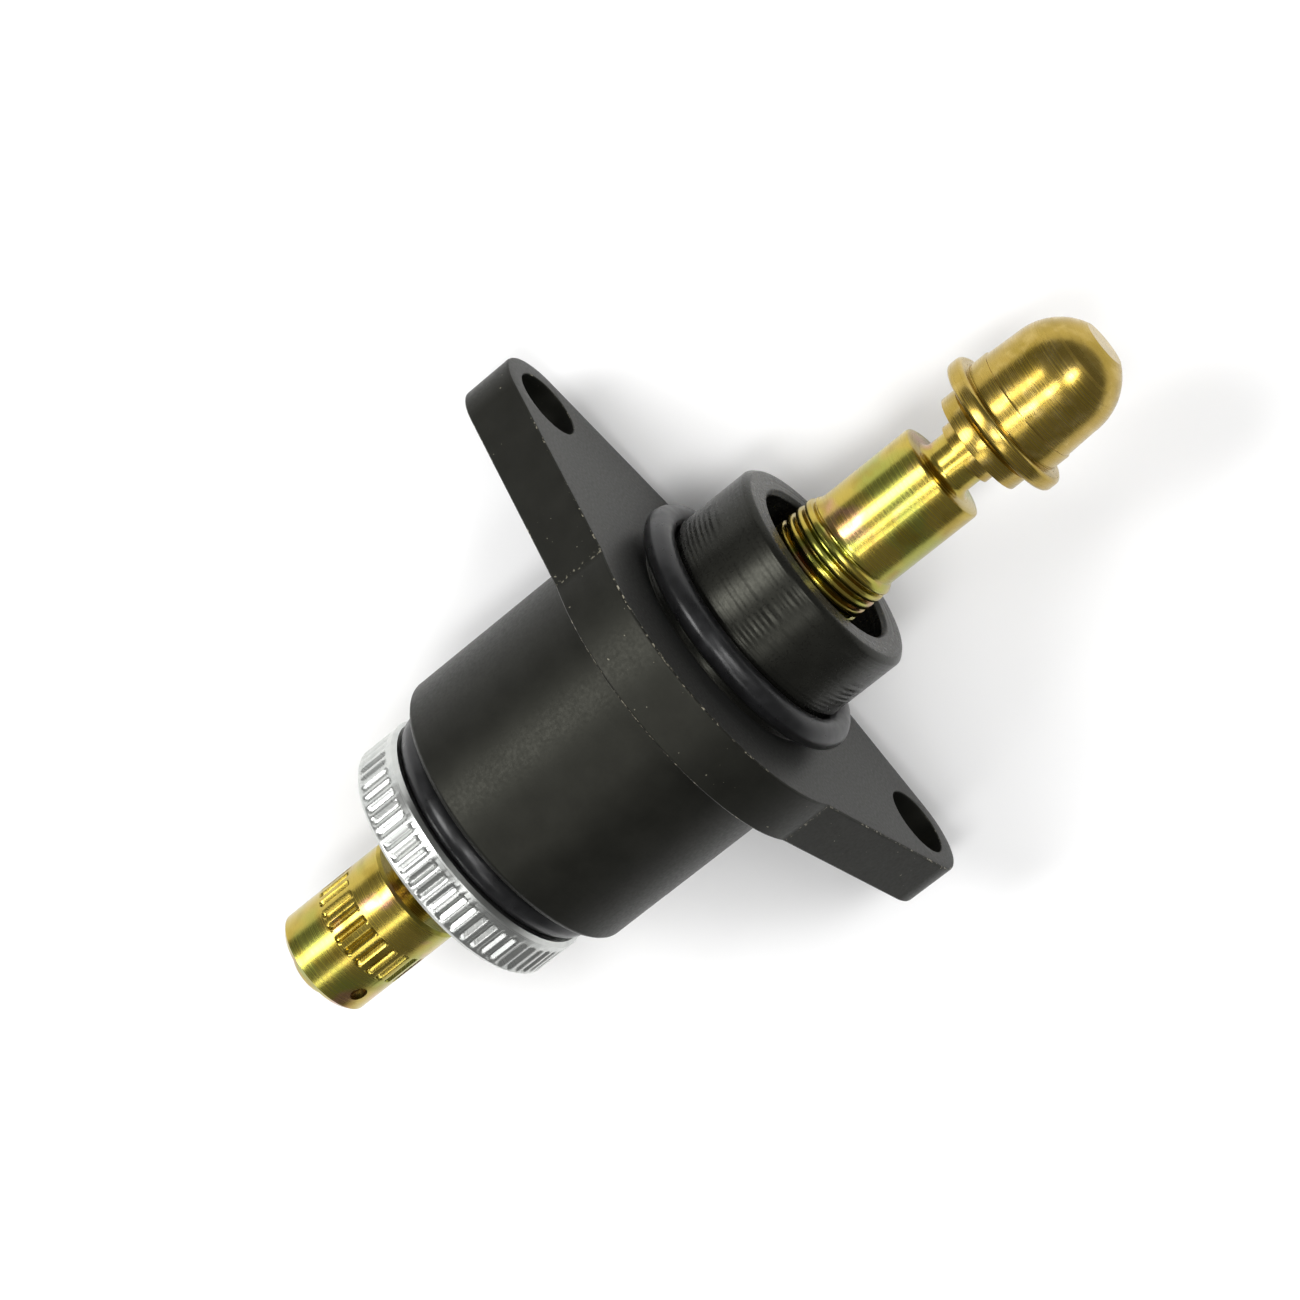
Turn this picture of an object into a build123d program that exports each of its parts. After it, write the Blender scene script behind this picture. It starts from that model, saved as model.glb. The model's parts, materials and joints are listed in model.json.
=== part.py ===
from build123d import *
import math
import os

# Hand-set idle air valve: a black flanged housing, a screw spindle that carries a brass
# pintle at the front and a knurled knob at the back, and a knurled ring that closes the back.
# Millimetres. +X runs along the valve to the pintle, the ears lie along Y and lean to -Z,
# and the origin is on the valve's axis in the flange's front face.

# Flange
flange_thickness = 5.0
flange_disc_radius = 16.7
flank_inset = 0.5            # the ear flanks run this far inside the disc's tangent
ear_hole_reach = 25.1        # valve axis to bolt hole
ear_lean_deg = 17.0          # each ear leans this far from a straight line
ear_end_radius = 5.0
bolt_hole_radius = 3.2
flange_edge_break = 0.25

# Barrel and spigot
barrel_radius = 13.45
barrel_length = 18.9
barrel_edge_break = 0.5
spigot_radius = 10.05
spigot_length = 10.9
spigot_edge_break = 0.5
mouth_radius = 7.3
mouth_depth = 13.0
mouth_edge_break = 0.3
rear_bore_depth = 10.9

# Seal round the spigot
flange_seal_cord = 2.6
seal_groove_depth = 0.3
seal_groove_land = 0.9       # flange face to groove
seal_side_gap = 0.1

# Thread and travel
thread_radius = 5.0
thread_clearance = 0.05
thread_show = 3.4            # thread that stands out of the spigot's mouth
travel_out = 3.0
travel_in = 11.0
end_clearance = 0.6          # room left at the inner end of the travel

# Thread insert
insert_length = 10.0
insert_wall = 1.7
insert_head_thickness = 1.2
insert_head_gap = 0.15
insert_fit = 0.02

# Spindle
sleeve_radius = 4.5
sleeve_reach = 12.3          # spigot front to sleeve front
sleeve_edge_break = 0.25
neck_radius = 2.42
neck_root_fillet = 0.7
tail_radius = 2.67
tail_edge_break = 0.4

# Swivel joint between spindle and pintle
swivel_gap = 0.05
swivel_lip = 0.7             # brass left between the hub and the head's socket
swivel_head_radius = 3.1
swivel_head_length = 2.0

# Pintle
pintle_gap = 2.3             # sleeve front to pintle hub
hub_radius = 2.82
hub_length = 1.35
guide_radius = 4.6
guide_length = 1.4
collar_groove = 0.55
collar_groove_radius = 4.3
collar_radius = 6.44
collar_length = 1.5
collar_round = 0.45
base_radius = 5.32
base_length = 1.75
body_radius = 5.2
body_length = 2.9
body_front_radius = 5.06
nose_length = 4.95
nose_bulge = 0.83            # how far the nose curve swells beyond a straight cone
tip_radius = 2.1

# Rear ring and its seal
ring_radius = 11.85
ring_edge_break = 0.35
ring_front_rim = 0.9
ring_rear_rim = 0.45
ring_flutes = 60
ring_flute_depth = 0.32
ring_crest_share = 0.0       # the ring's flutes meet in sharp crests
ring_wall = 1.05
ring_seal_cord = 2.85
ring_seal_inset = 0.05       # the seal's edge lies this far inside the ring's
stub_length = 7.7
stub_fit = 0.05

# Shaft gland inside the ring
gland_cavity_radius = 5.6
gland_seal_cord = 1.9
gland_running_gap = 0.05
gland_washer_thickness = 0.8
gland_clip_thickness = 0.8
gland_clip_width = 1.5
gland_clip_bite = 0.5        # depth of the clip in its groove
gland_clip_slot = 3.0
gland_side_gap = 0.05
ring_bore_gap = 0.35

# Knob
knob_gap = 0.85              # knob to ring at the outer end of the travel
knob_radius = 5.05
knob_length = 11.5
knob_front_break = 0.25
knob_rear_break = 0.45
knob_front_land = 3.5
knob_flute_length = 3.5
knob_flutes = 24
knob_flute_depth = 0.35
knob_crest_share = 0.55      # share of each flute's pitch that stays at full radius
knob_fit = 0.02
tail_projection = 1.3

# Cross pin through knob and spindle
pin_radius = 0.75
pin_recess = 0.9
pin_fit = 0.02
pin_from_rear = 2.3
pin_angle_deg = 131.0        # about +X, from +Y

# Closeness at which two edges count as the same
same_edge = 1e-6

# Stations along the axis
flange_rear = -flange_thickness
barrel_rear = flange_rear - barrel_length
insert_seat = spigot_length - mouth_depth
insert_rear = insert_seat - insert_length
insert_radius = thread_radius + insert_wall
rear_bore_end = barrel_rear + rear_bore_depth
seal_groove_rear = seal_groove_land
seal_groove_front = seal_groove_rear + flange_seal_cord + 2 * seal_side_gap
seal_groove_radius = spigot_radius - seal_groove_depth

sleeve_front = spigot_length + sleeve_reach
thread_front = spigot_length + thread_show
thread_rear = insert_rear - travel_out
hub_rear = sleeve_front + pintle_gap
guide_rear = hub_rear + hub_length
collar_rear = guide_rear + guide_length + collar_groove
collar_front = collar_rear + collar_length
base_front = collar_front + base_length
body_front = base_front + body_length
tip = body_front + nose_length
socket_rear = guide_rear + swivel_lip
swivel_rear = socket_rear + swivel_gap
swivel_front = swivel_rear + swivel_head_length

ring_front = barrel_rear - ring_seal_cord
stub_radius = ring_radius - ring_seal_inset - ring_seal_cord
stub_front = barrel_rear + stub_length
clip_front = thread_rear - travel_in - end_clearance
clip_rear = clip_front - gland_clip_thickness
washer_rear = clip_rear - gland_washer_thickness
gland_seal_rear = washer_rear - gland_seal_cord
ring_rear = gland_seal_rear - ring_wall
gland_seat_radius = tail_radius + gland_running_gap + gland_seal_cord + gland_side_gap
clip_groove_radius = gland_cavity_radius + gland_clip_bite + gland_side_gap

knob_front = ring_rear - travel_out - knob_gap
knob_rear = knob_front - knob_length
knob_flute_front = knob_front - knob_front_land
knob_flute_rear = knob_flute_front - knob_flute_length
tail_end = knob_rear - tail_projection
pin_station = knob_rear + pin_from_rear


def turned(*points):
    """Solid turned about the X axis from (station, radius) corners."""
    return revolve(make_face(Polyline(*points, close=True)), Axis.X, 360)


def drum(rear, front, radius):
    """Plain cylinder along X."""
    return turned((rear, 0), (rear, radius), (front, radius), (front, 0))


def tube(rear, front, inner, outer):
    """Plain ring along X."""
    return turned((rear, inner), (rear, outer), (front, outer), (front, inner))


def cord_ring(station, inner_radius, cord):
    """Round-section ring whose bore touches inner_radius."""
    section = Pos(station, inner_radius + cord / 2) * Circle(cord / 2)
    return revolve(section, Axis.X, 360)


def fluted_band(rear, front, outer, depth, count, crest_share):
    """Bar of flat-crested straight flutes along X."""
    pitch = 2 * math.pi / count
    corners = []
    for index in range(count):
        start = index * pitch
        crest_end = start + crest_share * pitch
        valley = (crest_end + start + pitch) / 2
        corners.append((outer * math.cos(start), outer * math.sin(start)))
        if crest_share > 0:
            corners.append((outer * math.cos(crest_end), outer * math.sin(crest_end)))
        corners.append(((outer - depth) * math.cos(valley), (outer - depth) * math.sin(valley)))
    outline = make_face(Polyline(*corners, close=True))
    return extrude(Plane.YZ.offset(rear) * outline, amount=front - rear)


def ear_centres():
    """Bolt hole centres in the flange's plane, as (y, z)."""
    lean = math.radians(ear_lean_deg)
    along = ear_hole_reach * math.cos(lean)
    drop = -ear_hole_reach * math.sin(lean)
    return [(along, drop), (-along, drop)]


def make_flange():
    """Disc with two leaning ears, their flanks a little inside the disc's tangents."""
    plane = Plane.YZ.offset(flange_rear)
    web = Circle(flange_disc_radius - flank_inset)
    for centre in ear_centres():
        web += Pos(*centre) * Circle(ear_end_radius)
    outline = make_hull(web.edges()) + Circle(flange_disc_radius)
    for centre in ear_centres():
        outline -= Pos(*centre) * Circle(bolt_hole_radius)
    plate = extrude(plane * outline, amount=flange_thickness)
    rims = [
        edge
        for face in (plate.faces().sort_by(Axis.X)[0], plate.faces().sort_by(Axis.X)[-1])
        for edge in face.outer_wire().edges()
    ]
    return chamfer(rims, flange_edge_break)


def make_housing():
    """One machined piece: barrel, flange and spigot, bored right through."""
    core = flange_rear / 2
    outside = turned(
        (barrel_rear, 0),
        (barrel_rear, barrel_radius - barrel_edge_break),
        (barrel_rear + barrel_edge_break, barrel_radius),
        (core, barrel_radius),
        (core, spigot_radius),
        (seal_groove_rear, spigot_radius),
        (seal_groove_rear, seal_groove_radius),
        (seal_groove_front, seal_groove_radius),
        (seal_groove_front, spigot_radius),
        (spigot_length - spigot_edge_break, spigot_radius),
        (spigot_length, spigot_radius - spigot_edge_break),
        (spigot_length, 0),
    )
    bores = turned(
        (barrel_rear, 0),
        (barrel_rear, stub_radius + stub_fit),
        (rear_bore_end, stub_radius + stub_fit),
        (rear_bore_end, insert_radius + insert_fit),
        (insert_seat, insert_radius + insert_fit),
        (insert_seat, mouth_radius),
        (spigot_length - mouth_edge_break, mouth_radius),
        (spigot_length, mouth_radius + mouth_edge_break),
        (spigot_length, 0),
    )
    return make_flange() + outside - bores


def make_thread_insert():
    """Headed bush that carries the screw thread, seated in the foot of the mouth bore."""
    bore = thread_radius + thread_clearance
    head_front = insert_seat + insert_head_thickness
    return turned(
        (insert_rear, bore),
        (insert_rear, insert_radius),
        (insert_seat, insert_radius),
        (insert_seat, mouth_radius - insert_head_gap),
        (head_front, mouth_radius - insert_head_gap),
        (head_front, bore),
    )


def make_spindle():
    """Turned spindle: tail, thread, sleeve, neck and the head that the pintle swivels on."""
    bar = turned(
        (tail_end, 0),
        (tail_end, tail_radius - tail_edge_break),
        (tail_end + tail_edge_break, tail_radius),
        (thread_rear, tail_radius),
        (thread_rear, thread_radius),
        (thread_front - (thread_radius - sleeve_radius), thread_radius),
        (thread_front, sleeve_radius),
        (sleeve_front - sleeve_edge_break, sleeve_radius),
        (sleeve_front, sleeve_radius - sleeve_edge_break),
        (sleeve_front, neck_radius),
        (swivel_rear, neck_radius),
        (swivel_rear, swivel_head_radius),
        (swivel_front, swivel_head_radius),
        (swivel_front, 0),
    )
    neck_root = [
        edge
        for edge in bar.edges().filter_by(GeomType.CIRCLE)
        if abs(edge.radius - neck_radius) < same_edge
        and abs(edge.arc_center.X - sleeve_front) < same_edge
    ]
    return fillet(neck_root, neck_root_fillet) - make_pin(pin_fit, knob_radius)


def make_pintle():
    """Acorn-nosed pintle, swaged over the spindle's head so that it can stay still."""
    nose_middle = (body_front + tip) / 2
    slope_length = math.hypot(nose_length, body_front_radius - tip_radius)
    swell_x = nose_bulge * (body_front_radius - tip_radius) / slope_length
    swell_r = nose_bulge * nose_length / slope_length
    nose_crown = (nose_middle + swell_x, (body_front_radius + tip_radius) / 2 + swell_r)
    outline = [
        Polyline(
            (tip, tip_radius),
            (tip, 0),
            (hub_rear, 0),
            (hub_rear, hub_radius),
            (guide_rear, hub_radius),
            (guide_rear, guide_radius),
            (guide_rear + guide_length, guide_radius),
            (guide_rear + guide_length + collar_groove / 2, collar_groove_radius),
            (collar_rear, guide_radius),
            (collar_rear, collar_radius),
            (collar_front, collar_radius),
            (collar_front, base_radius),
            (base_front, base_radius),
            (base_front, body_radius),
            (body_front, body_front_radius),
        ),
        ThreePointArc((body_front, body_front_radius), nose_crown, (tip, tip_radius)),
    ]
    acorn = revolve(make_face(outline), Axis.X, 360)
    collar_rims = [
        edge
        for edge in acorn.edges().filter_by(GeomType.CIRCLE)
        if abs(edge.radius - collar_radius) < same_edge
    ]
    socket = turned(
        (hub_rear, 0),
        (hub_rear, neck_radius + swivel_gap),
        (socket_rear, neck_radius + swivel_gap),
        (socket_rear, swivel_head_radius + swivel_gap),
        (swivel_front + swivel_gap, swivel_head_radius + swivel_gap),
        (swivel_front + swivel_gap, 0),
    )
    return fillet(collar_rims, collar_round) - socket


def make_lock_ring():
    """Knurled ring with a hollow stub that screws into the barrel and holds the shaft gland."""
    knurl_rear = ring_rear + ring_rear_rim
    knurl_front = ring_front - ring_front_rim
    knurl_root = ring_radius - ring_flute_depth
    blank = turned(
        (ring_rear, 0),
        (ring_rear, ring_radius - ring_edge_break),
        (ring_rear + ring_edge_break, ring_radius),
        (knurl_rear, ring_radius),
        (knurl_rear, knurl_root - ring_flute_depth),
        (knurl_front, knurl_root - ring_flute_depth),
        (knurl_front, ring_radius),
        (ring_front - ring_edge_break, ring_radius),
        (ring_front, ring_radius - ring_edge_break),
        (ring_front, stub_radius),
        (stub_front, stub_radius),
        (stub_front, 0),
    )
    bore = turned(
        (ring_rear, 0),
        (ring_rear, tail_radius + ring_bore_gap),
        (gland_seal_rear, tail_radius + ring_bore_gap),
        (gland_seal_rear, gland_seat_radius),
        (washer_rear, gland_seat_radius),
        (washer_rear, gland_cavity_radius),
        (clip_rear, gland_cavity_radius),
        (clip_rear, clip_groove_radius),
        (clip_front, clip_groove_radius),
        (clip_front, gland_cavity_radius),
        (stub_front, gland_cavity_radius),
        (stub_front, 0),
    )
    knurl = fluted_band(
        knurl_rear, knurl_front, ring_radius, ring_flute_depth, ring_flutes, ring_crest_share
    )
    return blank + knurl - bore


def make_gland_clip():
    """Open spring ring that keeps the gland washer in the ring."""
    outer = gland_cavity_radius + gland_clip_bite
    inner = gland_cavity_radius + gland_clip_bite - gland_clip_width
    middle = (clip_rear + clip_front) / 2
    slot = Pos(middle, 0, outer) * Box(2 * gland_clip_thickness, gland_clip_slot, outer)
    return tube(clip_rear, clip_front, inner, outer) - slot


def make_pin(growth, half_length):
    """Cross pin through the knob, or with growth and full reach the hole for it."""
    plane = Plane((pin_station, 0, 0), x_dir=(1, 0, 0), z_dir=pin_direction())
    return plane * Cylinder(pin_radius + growth, 2 * half_length)


def pin_direction():
    """Direction of the cross pin."""
    angle = math.radians(pin_angle_deg)
    return (0, math.cos(angle), math.sin(angle))


def make_knob():
    """Turned knob with a fluted waist, bored for the spindle's tail and its cross pin."""
    flute_root = knob_radius - 2 * knob_flute_depth
    blank = turned(
        (knob_rear, 0),
        (knob_rear, knob_radius - knob_rear_break),
        (knob_rear + knob_rear_break, knob_radius),
        (knob_flute_rear, knob_radius),
        (knob_flute_rear, flute_root),
        (knob_flute_front, flute_root),
        (knob_flute_front, knob_radius),
        (knob_front - knob_front_break, knob_radius),
        (knob_front, knob_radius - knob_front_break),
        (knob_front, 0),
    )
    flutes = fluted_band(
        knob_flute_rear, knob_flute_front, knob_radius, knob_flute_depth, knob_flutes, knob_crest_share
    )
    bore = drum(knob_rear, knob_front, tail_radius + knob_fit)
    return blank + flutes - bore - make_pin(pin_fit, 2 * knob_radius)


pieces = {
    "housing": make_housing(),
    "flange_seal": cord_ring(
        (seal_groove_rear + seal_groove_front) / 2, seal_groove_radius, flange_seal_cord
    ),
    "thread_insert": make_thread_insert(),
    "spindle": make_spindle(),
    "pintle": make_pintle(),
    "ring_seal": cord_ring((barrel_rear + ring_front) / 2, stub_radius, ring_seal_cord),
    "lock_ring": make_lock_ring(),
    "gland_seal": cord_ring(
        (gland_seal_rear + washer_rear) / 2, tail_radius + gland_running_gap, gland_seal_cord
    ),
    "gland_washer": tube(
        washer_rear, clip_rear, tail_radius + ring_bore_gap, gland_cavity_radius - gland_side_gap
    ),
    "gland_clip": make_gland_clip(),
    "adjuster_knob": make_knob(),
    "knob_pin": make_pin(0, knob_radius - pin_recess),
}

os.makedirs("parts", exist_ok=True)
for node, shape in pieces.items():
    shape.label = node
    export_step(shape, f"parts/{node}.step")
print("travel out", travel_out, "in", travel_in, "tip", round(tip, 3), "tail end", round(tail_end, 3))
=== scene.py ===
"""Dressed model of a hand-set idle air valve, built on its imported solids.

The valve lies along +X. A knob and a knurled ring stand at its rear, a flange with two leaning
ears at the origin, and a screw spindle with a brass pintle at its front. Sizes in the classes
are millimetres, and MM turns them into the metres of the frame.
"""

from __future__ import annotations

import json
import logging
import math
from dataclasses import dataclass, field
from enum import Enum
from typing import Any, Callable, Sequence

import bmesh
import bpy
from mathutils import Matrix, Quaternion, Vector

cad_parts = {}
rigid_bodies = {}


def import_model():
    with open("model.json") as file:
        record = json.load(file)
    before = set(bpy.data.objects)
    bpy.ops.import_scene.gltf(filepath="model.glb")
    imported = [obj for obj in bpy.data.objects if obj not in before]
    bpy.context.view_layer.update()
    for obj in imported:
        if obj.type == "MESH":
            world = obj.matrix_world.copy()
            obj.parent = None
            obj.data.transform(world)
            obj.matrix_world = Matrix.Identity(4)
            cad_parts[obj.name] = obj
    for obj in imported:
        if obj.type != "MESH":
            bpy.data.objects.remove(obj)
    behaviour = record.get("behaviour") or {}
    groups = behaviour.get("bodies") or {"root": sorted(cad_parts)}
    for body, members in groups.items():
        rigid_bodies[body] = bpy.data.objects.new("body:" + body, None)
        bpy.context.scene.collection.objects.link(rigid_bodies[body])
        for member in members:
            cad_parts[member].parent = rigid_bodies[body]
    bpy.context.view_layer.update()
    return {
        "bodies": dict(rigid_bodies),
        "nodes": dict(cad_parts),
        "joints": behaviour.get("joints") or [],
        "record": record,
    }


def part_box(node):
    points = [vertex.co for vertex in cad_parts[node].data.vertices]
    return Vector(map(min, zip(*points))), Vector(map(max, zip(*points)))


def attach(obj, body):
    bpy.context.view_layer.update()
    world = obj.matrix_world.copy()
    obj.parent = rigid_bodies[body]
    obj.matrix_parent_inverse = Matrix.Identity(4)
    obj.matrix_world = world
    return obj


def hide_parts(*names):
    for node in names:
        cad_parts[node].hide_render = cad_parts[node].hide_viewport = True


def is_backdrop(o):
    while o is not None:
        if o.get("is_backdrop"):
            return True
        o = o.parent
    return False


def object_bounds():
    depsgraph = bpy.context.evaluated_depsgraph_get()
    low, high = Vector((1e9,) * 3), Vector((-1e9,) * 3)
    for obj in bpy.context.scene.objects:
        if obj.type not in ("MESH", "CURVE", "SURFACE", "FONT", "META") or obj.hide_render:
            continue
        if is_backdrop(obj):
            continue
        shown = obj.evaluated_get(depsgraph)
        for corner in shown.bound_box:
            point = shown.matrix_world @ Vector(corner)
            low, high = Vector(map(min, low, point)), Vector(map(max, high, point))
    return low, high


LOG = logging.getLogger("idle_air_valve")
MM = 0.001
AXIS = Vector((1.0, 0.0, 0.0))
FULL_TURN = 2.0 * math.pi
MERGE_DISTANCE = 1.0e-7
SHARP_ANGLE = math.radians(28.0)
SLACK = 0.1
TOUCH = 1.0e-3

Corner = tuple[float, float]
Band = tuple[float, float]
Colour = tuple[float, float, float]

# Where most values of a noise lie
NOISE_BAND: Band = (0.3, 0.7)


class Body(Enum):
    """Moving bodies of the valve."""

    HOUSING = "housing"
    PINTLE = "pintle"
    SPINDLE = "spindle"


class Slot(Enum):
    """Material slots of the record."""

    PLASTIC = "black_plastic"
    RUBBER = "black_rubber"
    BRASS = "brass"
    YELLOW_ZINC = "yellow_zinc"
    BRIGHT_ZINC = "bright_zinc"
    STEEL = "steel"


# Mesh tools


def spot(station: float, radius: float, angle: float = 0.0) -> Vector:
    """Place a point round the valve's axis.

    Args:
        station: Distance along the axis, in millimetres.
        radius: Distance from the axis, in millimetres.
        angle: Angle from +Y about the axis, in radians.

    Returns:
        The point in metres.
    """
    return Vector((station, radius * math.cos(angle), radius * math.sin(angle))) * MM


def station_of(vert: bmesh.types.BMVert) -> float:
    """Give a vertex's distance along the axis, in millimetres."""
    return vert.co.x / MM


def radius_of(vert: bmesh.types.BMVert) -> float:
    """Give a vertex's distance from the axis, in millimetres."""
    return math.hypot(vert.co.y, vert.co.z) / MM


def least_radius(edge: bmesh.types.BMEdge) -> float:
    """Give the distance from the axis of an edge's inner end, in millimetres."""
    return min(radius_of(vert) for vert in edge.verts)


def set_radius(vert: bmesh.types.BMVert, radius: float) -> None:
    """Move a vertex straight out from the axis, or in towards it.

    Args:
        vert: Vertex to move.
        radius: Its new distance from the axis, in millimetres.
    """
    factor = radius / radius_of(vert)
    vert.co.y *= factor
    vert.co.z *= factor


def smooth_step(low: float, high: float, value: float) -> float:
    """Ease from 0 at low to 1 at high."""
    share = min(1.0, max(0.0, (value - low) / (high - low)))
    return share * share * (3.0 - 2.0 * share)


def swelling_arc(start: Corner, end: Corner, bulge: float, count: int) -> list[Corner]:
    """Lay points on a circular arc that swells away from the axis.

    Args:
        start: First (station, radius) corner, not returned.
        end: Last corner, returned.
        bulge: Height of the arc over its chord.
        count: Number of points.

    Returns:
        The points after start.
    """
    chord = Vector(end) - Vector(start)
    out = Vector((-chord.y, chord.x)).normalized()
    if out.y < 0.0:
        out.negate()
    radius = (chord.length_squared / 4.0 + bulge * bulge) / (2.0 * bulge)
    centre = (Vector(start) + Vector(end)) / 2.0 + out * (bulge - radius)
    first = Vector(start) - centre
    sweep = first.angle_signed(Vector(end) - centre)
    points = []
    for index in range(1, count + 1):
        turned = -sweep * index / count
        spoke = Vector(
            (
                first.x * math.cos(turned) - first.y * math.sin(turned),
                first.x * math.sin(turned) + first.y * math.cos(turned),
            )
        )
        points.append(tuple(centre + spoke))
    return points


def lathe(
    bm: bmesh.types.BMesh,
    profile: Sequence[Corner],
    steps: int,
    rise: float = 0.0,
    closed: bool = False,
) -> None:
    """Turn a profile about the valve's axis.

    Args:
        bm: Mesh that takes the surface.
        profile: (station, radius) corners.
        steps: Steps in the full turn.
        rise: Advance along the axis in one turn, for a screw thread.
        closed: Whether the last corner joins the first.
    """
    verts = [bm.verts.new(spot(*corner)) for corner in profile]
    pairs = list(zip(verts, verts[1:]))
    if closed:
        pairs.append((verts[-1], verts[0]))
    edges = [bm.edges.new(pair) for pair in pairs]
    bmesh.ops.spin(
        bm,
        geom=verts + edges,
        cent=(0.0, 0.0, 0.0),
        axis=AXIS,
        dvec=AXIS * (rise * MM / steps),
        angle=FULL_TURN,
        steps=steps,
        use_merge=rise == 0.0,
    )
    bmesh.ops.remove_doubles(bm, verts=bm.verts[:], dist=MERGE_DISTANCE)


def draw_out(
    bm: bmesh.types.BMesh, ring: list[bmesh.types.BMEdge], profile: Sequence[Corner]
) -> None:
    """Extrude an end ring from corner to corner of a profile and close its end.

    Args:
        bm: Mesh that holds the ring.
        ring: Edges of the open ring.
        profile: (station, radius) corners that the ring visits.
    """
    for station, radius in profile:
        made = bmesh.ops.extrude_edge_only(bm, edges=ring)["geom"]
        ring = [item for item in made if isinstance(item, bmesh.types.BMEdge) and item.is_boundary]
        for vert in {vert for edge in ring for vert in edge.verts}:
            set_radius(vert, radius)
            vert.co.x = station * MM
    bmesh.ops.edgeloop_fill(bm, edges=ring)


def break_edges(
    bm: bmesh.types.BMesh,
    width: float,
    chosen: Callable[[bmesh.types.BMEdge], bool],
    segments: int = 3,
) -> None:
    """Round the sharp edges that a test picks.

    Args:
        bm: Mesh to change.
        width: Width of the rounding in millimetres.
        chosen: Test that an edge has to pass.
        segments: Facets across the rounding.
    """
    edges = [
        edge
        for edge in bm.edges
        if edge.is_manifold and edge.calc_face_angle() > SHARP_ANGLE and chosen(edge)
    ]
    bmesh.ops.bevel(
        bm,
        geom=edges,
        offset=width * MM,
        offset_type="OFFSET",
        segments=segments,
        profile=0.5,
        affect="EDGES",
        clamp_overlap=True,
        material=-1,
    )


@dataclass(frozen=True)
class FlutedBand:
    """Straight flutes with round ends, pressed into a turned band."""

    rear: float
    front: float
    count: int
    depth: float
    crest_share: float
    ramp: float
    uneven: float = 0.0
    rings: int = 4

    def profile(self, radius: float) -> list[Corner]:
        """Give the band's corners, closely spaced where the flutes run out.

        Args:
            radius: Radius of the band.

        Returns:
            (station, radius) corners from rear to front.
        """
        shares = [step / self.rings for step in range(self.rings + 1)]
        stations = [self.rear + self.ramp * share for share in shares]
        stations += [self.front - self.ramp * share for share in reversed(shares)]
        return [(station, radius) for station in stations]

    def press(self, bm: bmesh.types.BMesh) -> None:
        """Press the flutes into a turned mesh that has the band's corners.

        Args:
            bm: Mesh to change.
        """
        for vert in bm.verts:
            station = station_of(vert)
            share = min(1.0, (station - self.rear) / self.ramp, (self.front - station) / self.ramp)
            flute, turn = divmod(math.atan2(vert.co.z, vert.co.y) / FULL_TURN * self.count, 1.0)
            if share > 0.0 and turn > self.crest_share:
                across = (turn - self.crest_share) / (1.0 - self.crest_share)
                depth = self.depth * (1.0 - self.uneven * (0.5 + 0.5 * math.sin(flute * flute)))
                sunk = depth * math.sqrt(share * (2.0 - share)) * math.sin(math.pi * across) ** 2
                set_radius(vert, radius_of(vert) - sunk)


# Finishes


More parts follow.
